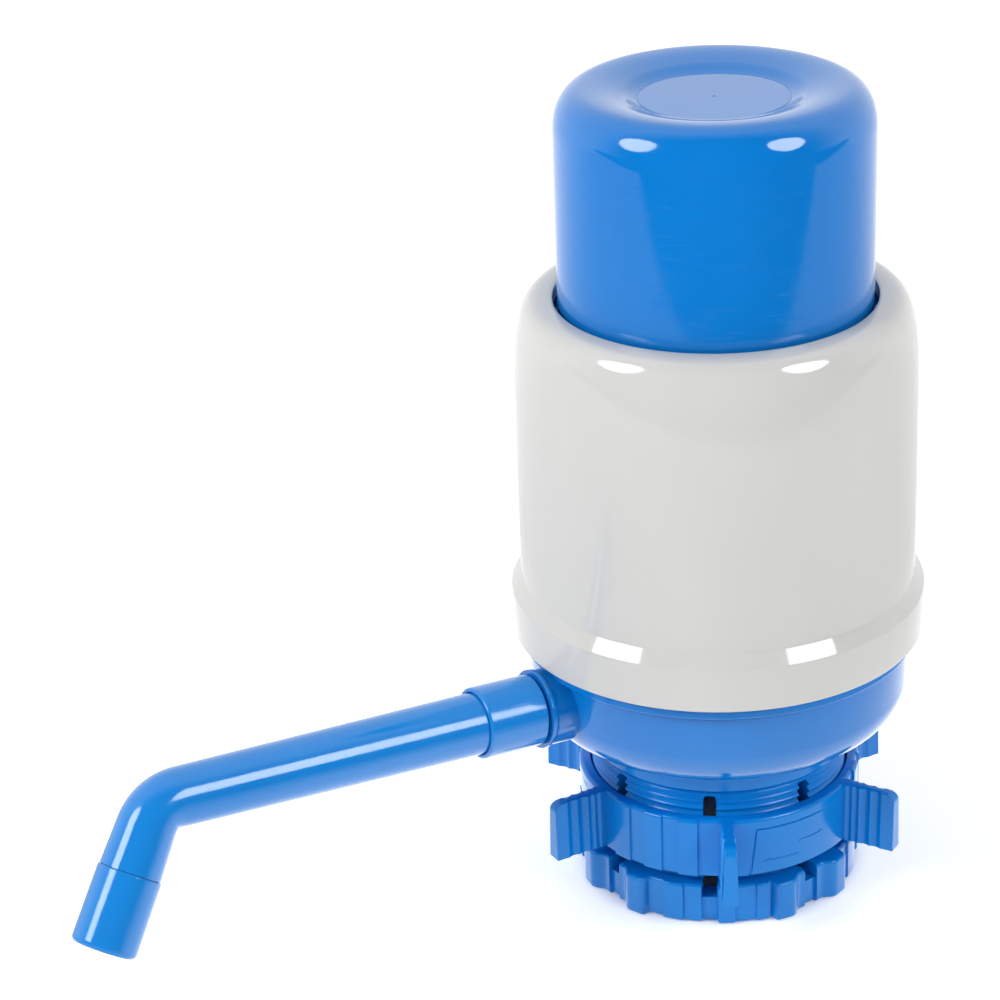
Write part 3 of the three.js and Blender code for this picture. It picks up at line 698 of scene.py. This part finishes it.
def label_depth(turn, z):
    """Depth of the sunk label at a heading from its wing: a groove runs round its border."""
    if z > LABEL_TOP:
        return 0
    sunk, groove, soft = 0.2, 0.3, 0.3
    left = LABEL_LEFT - LABEL_SLANT * (LABEL_TOP - z) / (LABEL_TOP - RING_FOOT)
    if z < LABEL_TOP - 0.5:
        groove *= plateau(turn, left, left + 0.8, soft)
    return (sunk + groove) * plateau(turn, left, LABEL_RIGHT, soft)


def ring_radius(turn, z):
    """Outer radius of the clamping ring: grip panels and smooth label sectors in turn."""
    radius = GRIP_LOW
    for start, has_panels in sectors():
        if has_panels:
            for low, high in grip_panels(start):
                radius += (GRIP_HIGH - GRIP_LOW) * plateau(turn, low, high, 0.4)
        else:
            radius += (LABEL_RADIUS - GRIP_LOW) * plateau(turn, start, start + 60, 1.0)
            fade = 1 - step_up((turn - start) % 360, 46, 14)
            radius -= fade * label_depth(turn - start, z)
    return radius


def turn_arrow(sector, start, end, z, point):
    """A raised arrow on a label sector; `point` is the end that has the head."""
    shaft, head, tip, head_share, count = 0.26, 1.0, 0.03, 0.2, 14
    tops, feet = [], []
    for i in range(count + 1):
        share = i / count
        from_head = share if point == "start" else 1 - share
        half = max(tip, head * from_head / head_share) if from_head < head_share else shaft
        turn = sector + start + (end - start) * share
        tops.append((turn, z + half))
        feet.append((turn, z - half))
    outline = tops + feet[::-1]
    loops = [[heading(turn) * radius + Vector((0, 0, height)) for turn, height in outline]
             for radius in (LABEL_RADIUS - 0.6, LABEL_RADIUS - 0.02)]
    return skin("arrow", loops, wrap=False)


def clamp_ring():
    """The ring that tightens the collar: grip panels, arrows and six wings."""
    edges, wings, arrows = [], [], []
    for start, has_panels in sectors():
        wings.append(wing(start))
        if has_panels:
            edges += [edge for panel in grip_panels(start) for edge in panel]
        else:
            across_slant = [start + LABEL_LEFT - 2.8 + 0.4 * k for k in range(10)]
            edges += [start, start + LABEL_RIGHT] + across_slant
            arrows.append(turn_arrow(start, 15, 30.5, RING_FOOT + 3.2, "start"))
            arrows.append(turn_arrow(start, 31, 44, RING_FOOT + 6.6, "end"))
    steps, margin = 12, 0.6
    lift = (LABEL_TOP - RING_FOOT - 2 * margin) / steps
    levels = [RING_FOOT + margin + lift * k for k in range(1, steps + 1)]
    levels += [LABEL_TOP - 0.45, LABEL_TOP - 0.05, LABEL_TOP + 0.1]
    loops = []
    for turn in sample_turns(edges, 0.5):
        high = ring_radius(turn, RING_TOP)
        foot = ring_radius(turn, RING_FOOT)
        outline = rounded(
            [(RING_BORE, RING_FOOT, 0.2), (foot, RING_FOOT, 0.25), (foot, RING_FOOT + margin)]
            + [(ring_radius(turn, z), z) for z in levels]
            + [(high, RING_TOP, 1.0), (RING_BORE, RING_TOP, 0.3)])
        out = heading(turn)
        loops.append([out * p[0] + Vector((0, 0, p[1])) for p in outline])
    return combine(skin("clamp_ring_fine", loops, wrap=True), "UNION", wings + arrows)


# ---- the spout -----------------------------------------------------------------------------
def tube_loop(origin, away, near, far, half):
    """A loop across the bent tube, from `near` to `far` along `away`, `half` wide on Y."""
    loop = []
    for i in range(ROUND):
        angle = 2 * math.pi * i / ROUND
        point = origin + away * ((near + far) / 2 + (far - near) / 2 * math.cos(angle))
        point.y = half * math.sin(angle)
        loop.append(point)
    return loop


LEG = Vector((math.cos(ELBOW_BEND), 0, -math.sin(ELBOW_BEND)))      # runs down to the tip
ACROSS_LEG = Vector((math.sin(ELBOW_BEND), 0, math.cos(ELBOW_BEND)))
CORNER = Vector((ELBOW_AT, 0, 0))


def bent_loops(end, arm, elbow, leg):
    """Loops along the bent tube with its three radii: the inside corner is nearly sharp."""
    offset, ease = ELBOW_OUTER - ELBOW_RADIUS, 0.06
    centre = Vector((ELBOW_AT - offset * math.tan(ELBOW_BEND / 2), 0, -offset))
    up = Vector((0, 0, 1))
    inner = offset - elbow
    loops = []
    for i in range(9):
        share = i / 9
        x = TUBE_START + (centre.x - TUBE_START) * share
        radius = arm + (elbow - arm) * share
        loops.append(tube_loop(Vector((x, 0, 0)), up, -radius, radius, radius))
    steps = 40
    for i in range(steps + 1):
        turn = ELBOW_BEND * i / steps
        away = Vector((math.sin(turn), 0, math.cos(turn)))
        gap = math.sqrt((turn - ELBOW_BEND / 2) ** 2 + ease ** 2) - ease
        near = inner / math.cos(max(0.0, ELBOW_BEND / 2 - gap))
        loops.append(tube_loop(centre, away, near, offset + elbow, elbow))
    elbow_end = offset * math.tan(ELBOW_BEND / 2)
    for i in range(1, 7):
        share = i / 6
        at = CORNER + LEG * (elbow_end + (end - elbow_end) * share)
        radius = elbow + (leg - elbow) * share
        loops.append(tube_loop(at, ACROSS_LEG, -radius, radius, radius))
    return loops


def spout_tube():
    """The bent tube with its bore and the spigot that holds the tip sleeve."""
    spigot, spigot_end = 6.3, TIP_STEP + 8
    outside = bent_loops(TIP_STEP - 0.05, ARM_RADIUS, ELBOW_RADIUS, LEG_RADIUS)
    for down, radius in ((TIP_STEP, LEG_RADIUS - 0.15), (TIP_STEP, spigot), (spigot_end, spigot)):
        outside.append(tube_loop(CORNER + LEG * down, ACROSS_LEG, -radius, radius, radius))
    wall = 1.4
    bore = bent_loops(spigot_end, ARM_RADIUS - wall, ELBOW_RADIUS - wall, ELBOW_RADIUS - wall)
    tube = skin("spout_tube_fine", outside + bore[::-1], wrap=True)
    return place(tube, outlet_frame(SPOUT_ROLL))


def spout_coupling():
    """The sleeve that turns on the outlet stub and grips the tube."""
    start, end, radius = 53.4, 68.9, 8.65
    stub_bore, stub_stop, tube_stop, passage = 6.7, 64.6, TUBE_START - 0.1, 5.2
    tube_bore = ARM_RADIUS + 0.1
    sleeve = turned("spout_coupling_fine", rounded([
        (stub_bore, start, 0.3), (radius, start, 0.35), (radius, end - 2.4, 3.0),
        (radius, end, 0.7), (tube_bore, end, 0.3), (tube_bore, tube_stop), (passage, tube_stop),
        (passage, stub_stop), (stub_bore, stub_stop),
    ]), ROUND)
    return place(sleeve, outlet_frame(SPOUT_ROLL) @ ALONG_OUTLET)


def spout_tip():
    """The sleeve on the end of the spout."""
    bore, mouth, start, stop = 6.4, 5.6, TIP_STEP + 0.06, TIP_STEP + 8.2
    tip = turned("spout_tip_fine", rounded([
        (bore, start), (TIP_RADIUS - 0.12, start, 0.3), (TIP_RADIUS, TIP_END, 1.4),
        (mouth, TIP_END, 0.5), (mouth, stop), (bore, stop),
    ]), ROUND)
    to_leg = Matrix.Translation((ELBOW_AT * MM, 0, 0)) @ Matrix.Rotation(
        math.pi / 2 + ELBOW_BEND, 4, "Y")
    return place(tip, outlet_frame(SPOUT_ROLL) @ to_leg)


# ---- inside ----------------------------------------------------------------------------------
def drilled_plate(name, outline):
    """A round plate with a stem hole and a ring of air holes."""
    plate = turned(name, outline)
    up = Vector((0, 0, 1))
    low, high = min(p[1] for p in outline) - 2, max(p[1] for p in outline) + 2
    stem_hole, air_hole, holes, hole_circle = 2.8, 1.8, 6, 8.2
    cuts = [tube_between("stem_hole", stem_hole, up * low, up * high, 48)]
    for i in range(holes):
        at = heading(360 * i / holes) * hole_circle
        cuts.append(tube_between("air_hole", air_hole, at + up * low, at + up * high, 36))
    return combine(plate, "DIFFERENCE", cuts)


def top_plate():
    """The plate under the cap, with the collar that holds the bellows' cuff."""
    _, low, high = span("top_plate")
    under, inside, outside, edge, soft = high - 2.3, 24, 26, 30, 0.4
    return drilled_plate("top_plate_fine", rounded([
        (0, under), (inside, under, soft), (inside, low, soft), (outside, low, soft),
        (outside, under, soft), (edge, under, soft), (edge, high, soft), (0, high),
    ]))


def valve_plate():
    """The plate across the bowl, with the rim that centres the spring."""
    radius, low, high = span("valve_plate")
    top, rim, rim_bore = high - 1.5, 20.5, 19
    return drilled_plate("valve_plate_fine", rounded([
        (0, low), (radius, low, 0.3), (radius, top, 0.3), (rim, top), (rim, high, 0.4),
        (rim_bore, high, 0.4), (rim_bore, top), (0, top),
    ]))


def flap_valve(node):
    """A rubber disc with a barbed stem."""
    radius, low, high = span(node)
    thick, stem, barb, barb_foot = 1.2, 2.2, 3.6, high - 1.6
    return turned(node + "_fine", rounded([
        (0, low), (radius, low, 0.35), (radius, low + 0.8, 0.3), (10, low + thick, 1.0),
        (stem, low + thick, 0.4), (stem, barb_foot, 0.2), (barb, barb_foot, 0.3),
        (stem + 0.2, high, 0.4), (0, high),
    ]), 128)


def bellows():
    """The pleated bellows, its folds as smooth waves."""
    _, low, high = span("bellows")
    crest, root, wall, folds, foot = 33.3, 27.8, 1.4, 6, 40
    foot_top, cuff = low + 2, high - 5.4
    count = 20 * folds
    middle, swing = (crest + root) / 2, (crest - root) / 2
    outside, inside = [], []
    for i in range(count + 1):
        phase = 2 * math.pi * folds * i / count
        z = foot_top + (cuff - foot_top) * i / count
        radius = middle - swing * math.cos(phase)
        outside.append((radius, z))
        if i > 6:                                   # the inside starts above the foot
            inside.append((radius - wall, z))
    outline = [(root - wall, low), (foot, low), (foot, foot_top)] + outside
    outline += [(root, high), (root - wall, high)] + inside[::-1]
    return turned("bellows_fine", outline, 160)


def bellows_retainer():
    """The ring that presses the bellows' foot on its plate."""
    radius, low, high = span("bellows_retainer")
    bore, recess = 35, 40.3
    return turned("bellows_retainer_fine", rounded([
        (bore, low + 2), (recess, low + 2), (recess, low, 0.2), (radius, low, 0.3),
        (radius, high, 0.4), (bore, high, 0.4),
    ]))


def return_spring():
    """The compression spring, with closed ends."""
    outer, low, high = span("return_spring")
    wire = 0.9
    radius = outer - wire
    turns, per_turn, sides = 9, 64, 16
    loops = []
    count = turns * per_turn
    for i in range(count + 1):
        share = i / count
        closing = min(1.0, share * turns, (1 - share) * turns)
        lift = 0.5 - 0.5 * math.cos(math.pi * share)
        rise = share * 0.75 + lift * 0.25
        z = low + wire + 0.05 + (high - low - 2 * wire - 0.1) * rise
        angle = 2 * math.pi * turns * share
        out = Vector((math.cos(angle), math.sin(angle), 0))
        size = wire * (0.75 + 0.25 * closing)
        loops.append([out * (radius + size * math.cos(2 * math.pi * k / sides))
                      + Vector((0, 0, z + size * math.sin(2 * math.pi * k / sides)))
                      for k in range(sides)])
    return skin("return_spring_fine", loops, wrap=False)


def neck_gasket():
    """The rubber ring that the bottle's rim is pressed against."""
    radius, low, high = span("neck_gasket")
    bore, soft = 22.5, 0.5
    return turned("neck_gasket_fine", rounded([
        (bore, low, soft), (radius, low, soft), (radius, high, soft), (bore, high, soft)]))


def tube_socket():
    """The socket for the bottle's dip tube, with a flange and the groove for its seal."""
    _, low, high = span("tube_socket")
    bore, sleeve, flange, plug, groove = 4.4, 6.5, 8.1, 6.0, 5.2
    seat = low + 14.6
    return turned("tube_socket_fine", rounded([
        (bore, low, 0.4), (sleeve, low, 0.4), (sleeve, seat), (flange, seat, 0.3),
        (flange, seat + 1.7, 0.3), (plug, seat + 1.7), (plug, seat + 4.4), (groove, seat + 4.4),
        (groove, seat + 6.6), (plug, seat + 6.6), (plug, high, 0.4), (bore, high, 0.3),
    ]), ROUND)


def cord_ring(name, mean, cord, z):
    """An O-ring of a mean radius and cord radius."""
    outline = [(mean + cord * math.cos(math.pi * k / 12), z + cord * math.sin(math.pi * k / 12))
               for k in range(24)]
    return turned(name, outline, 128)


# ---- the studio ------------------------------------------------------------------------------
CAMERA_AT = Vector((-364.2, -555.5, 208.1)) * MM
CAMERA_HEADING = 28.74            # degrees from +Y towards +X
CAMERA_DIP = 24.88                # degrees below the horizon
CAMERA_ROLL = -2.26
CAMERA_LENS = 109.06              # on a 36 mm sensor
SOFT_BOXES = ((-93, 7.2), (22, 4.6))    # heading and power of each
SOFT_BOX_RISE = 31                # degrees above the horizon
SOFT_BOX_AWAY = 1.25              # metres
SOFT_BOX_SIZE = (0.42, 0.42)      # metres, of the face that lights the scene
GLARE_SIZE = (0.55, 0.64)         # of the face that the gloss sees
GLARE_POWER = 10.0
TABLE_HEADING = -36               # where the table's front edge faces
TABLE_FRONT = 0.41                # metres from the pump's axis to that edge
TABLE_SPLAY = (0.05, 0.45)        # how fast the edge falls back to the left and right
TABLE_GLOW = (0.15, 1.0)          # lifts the shadows on the table, near and far off
GLOW_RANGE = (0.3, 1.5)           # metres from the axis
SEEN_GLOW = 0.3                   # lifts them further for the camera alone
FAR_GLARE = 0.5                   # what the gloss sees: the table's far end adds this,
NEAR_GLARE = 2.1                  # round the pump,
SIDE_GLARE = 0.8                  # well to the side of it,
NEAR_RANGE = (0.08, 0.22)         # metres from the axis, where one goes over to the other
BACKDROP_GLARE = 1.4              # behind the table
DARK_ROOM = 0.03                  # and on the camera's side
WALL_LIGHT = 0.44
CEILING_LIGHT = 0.6
TO_CAMERA = heading(-CAMERA_HEADING)


def camera():
    data = bpy.data.cameras.new("camera")
    data.lens = CAMERA_LENS
    data.clip_start, data.clip_end = 0.05, 50
    eye = bpy.data.objects.new("camera", data)
    bpy.context.scene.collection.objects.link(eye)
    eye.rotation_mode = "XYZ"
    look = (Matrix.Rotation(math.radians(-CAMERA_HEADING), 4, "Z")
            @ Matrix.Rotation(math.radians(90 - CAMERA_DIP), 4, "X")
            @ Matrix.Rotation(math.radians(CAMERA_ROLL), 4, "Z"))
    eye.matrix_world = Matrix.Translation(CAMERA_AT) @ look
    bpy.context.scene.camera = eye


def soft_box(turn, power):
    """A soft box aimed at the housing's shoulder: one lamp gives light, one is for the gloss."""
    away = heading(turn) * math.cos(math.radians(SOFT_BOX_RISE))
    away.z = math.sin(math.radians(SOFT_BOX_RISE))
    shoulder = Vector((0, 0, FOOT * 0.3 * MM))
    apart = 0.02                  # the gloss's lamp stands in front of the other
    for gloss, size, energy in ((False, SOFT_BOX_SIZE, power), (True, GLARE_SIZE, GLARE_POWER)):
        data = bpy.data.lights.new("soft_box", "AREA")
        data.shape = "ELLIPSE"
        data.size, data.size_y = size
        data.energy = energy
        box = bpy.data.objects.new("soft_box", data)
        bpy.context.scene.collection.objects.link(box)
        box.visible_glossy = gloss
        box.visible_diffuse = not gloss
        box.location = away * (SOFT_BOX_AWAY - apart * gloss) + shoulder
        box.rotation_mode = "QUATERNION"
        box.rotation_quaternion = away.to_track_quat("Z", "Y")


def studio_world():
    """Soft white all round; what the gloss reflects is dark on the camera's side."""
    world = bpy.data.worlds.new("studio")
    bpy.context.scene.world = world
    world.use_nodes = True
    nodes = Nodes(world.node_tree)
    rays = nodes.add("LightPath")
    direction = nodes.add("TexCoord").outputs["Generated"]
    side = nodes.along(direction, TO_CAMERA)
    mirrored = nodes.ramp(side, -0.2, 0.45, BACKDROP_GLARE, DARK_ROOM)
    split = nodes.add("SeparateXYZ")
    nodes.link(direction, split.inputs["Vector"])
    lit = nodes.ramp(split.outputs["Z"], 0.2, 1.0, WALL_LIGHT, CEILING_LIGHT)
    plain = nodes.add("Mix", data_type="FLOAT")
    nodes.link(rays.outputs["Is Camera Ray"], plain.inputs["Factor"])
    nodes.link(lit, plain.inputs["A"])
    plain.inputs["B"].default_value = 1.0
    mix = nodes.add("Mix", data_type="FLOAT")
    nodes.link(rays.outputs["Is Glossy Ray"], mix.inputs["Factor"])
    nodes.link(plain.outputs["Result"], mix.inputs["A"])
    nodes.link(mirrored, mix.inputs["B"])
    light = nodes.add("Background")
    light.inputs["Color"].default_value = (1, 1, 1, 1)
    nodes.link(mix.outputs["Result"], light.inputs["Strength"])
    output = nodes.add("OutputWorld")
    nodes.link(light.outputs["Background"], output.inputs["Surface"])


def table_glare(nodes, spot, distance, clear):
    """What the gloss sees of the table: bright as far as its front edge, dark beyond it."""
    reach = nodes.along(spot, TO_CAMERA)
    far = nodes.ramp(reach, -0.5, 0.0, FAR_GLARE, 0)
    near = nodes.ramp(distance, *NEAR_RANGE, NEAR_GLARE, SIDE_GLARE)
    ahead = nodes.along(spot, heading(TABLE_HEADING))
    across = nodes.along(spot, heading(TABLE_HEADING + 90))
    left, right = TABLE_SPLAY
    fall = nodes.math("MAXIMUM", nodes.math("MULTIPLY", across, -left),
                      nodes.math("MULTIPLY", across, right))
    edge, blur = nodes.math("ADD", ahead, fall), 0.01
    front = nodes.ramp(edge, TABLE_FRONT - blur, TABLE_FRONT + blur, 1, DARK_ROOM)
    return nodes.math("MULTIPLY", nodes.math("ADD", far, near),
                      nodes.math("MULTIPLY", front, clear))


def pale_floor():
    """A pale table: its own faint glow lifts the shadows on it, and the gloss sees it bright."""
    size, gap = 6.0, 0.0002                         # metres
    mesh = bpy.data.meshes.new("floor")
    low = FOOT * MM - gap
    corners = [(-size, -size, low), (size, -size, low), (size, size, low), (-size, size, low)]
    mesh.from_pydata(corners, [], [(0, 1, 2, 3)])
    floor = bpy.data.objects.new("floor", mesh)
    bpy.context.scene.collection.objects.link(floor)
    material, nodes, surface = new_material("pale_table")
    spot = nodes.add("TexCoord").outputs["Object"]
    distance = nodes.from_axis(spot)
    skirt, blur = SKIRT_RADIUS * MM, 0.004
    clear = nodes.ramp(distance, skirt - blur, skirt + blur, 0, 1)    # painted shade: no glow or glare on the table inside the collar, under the pump
    rays = nodes.add("LightPath")
    glare = nodes.add("Emission")
    nodes.link(table_glare(nodes, spot, distance, clear), glare.inputs["Strength"])
    seen = nodes.math("MULTIPLY", rays.outputs["Is Camera Ray"], SEEN_GLOW)
    glow = nodes.math("ADD", seen, nodes.ramp(distance, *GLOW_RANGE, *TABLE_GLOW))
    nodes.link(nodes.math("MULTIPLY", clear, glow), surface.inputs["Emission Strength"])
    surface.inputs["Emission Color"].default_value = (1, 1, 1, 1)
    surface.inputs["Base Color"].default_value = (0.92, 0.92, 0.92, 1)
    surface.inputs["Roughness"].default_value = 0.9
    surface.inputs["Specular IOR Level"].default_value = 0.0
    either = nodes.add("MixShader")
    nodes.link(rays.outputs["Is Glossy Ray"], either.inputs[0])
    nodes.link(surface.outputs["BSDF"], either.inputs[1])
    nodes.link(glare.outputs["Emission"], either.inputs[2])
    nodes.link(either.outputs["Shader"], nodes.tree.nodes["Material Output"].inputs["Surface"])
    mesh.materials.append(material)


# ---- assembly ----------------------------------------------------------------------------------
finish(press_cap(), "press_cap", "cap", BLUE)
finish(top_plate(), "top_plate", "cap", WHITE)
finish(flap_valve("intake_valve"), "intake_valve", "intake_flap", RUBBER)
finish(housing(), "housing", "base", WHITE)
finish(base_bowl(), "base_bowl", "base", BLUE)
finish(neck_collar(), "neck_collar", "base", COLLAR_BLUE)
finish(clamp_ring(), "clamp_ring", "ring", COLLAR_BLUE)
finish(neck_gasket(), "neck_gasket", "base", RUBBER)
finish(tube_socket(), "tube_socket", "base", NATURAL)
socket_seal = cord_ring("tube_socket_seal_fine", 5.72, 0.46, FOOT + 44.1)
finish(socket_seal, "tube_socket_seal", "base", BLACK_RUBBER)
finish(valve_plate(), "valve_plate", "base", WHITE)
finish(flap_valve("check_valve"), "check_valve", "check_flap", RUBBER)
finish(bellows_retainer(), "bellows_retainer", "base", WHITE)
outlet_seal = place(cord_ring("outlet_seal_fine", 5.97, 0.44, 58.2), outlet_frame(0) @ ALONG_OUTLET)
finish(outlet_seal, "outlet_seal", "base", BLACK_RUBBER)
finish(spout_coupling(), "spout_coupling", "spout", SPOUT_BLUE)
finish(spout_tube(), "spout_tube", "spout", SPOUT_BLUE)
finish(spout_tip(), "spout_tip", "spout", SPOUT_BLUE)

for piece, node, material, slot in (
        (bellows(), "bellows", RUBBER, "soft_rubber"),
        (return_spring(), "return_spring", STEEL, "spring_steel")):
    finish(piece, node, "base", material)
    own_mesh(piece)

camera()
for turn, power in SOFT_BOXES:
    soft_box(turn, power)
studio_world()
pale_floor()
bpy.context.scene.view_settings.view_transform = "Standard"
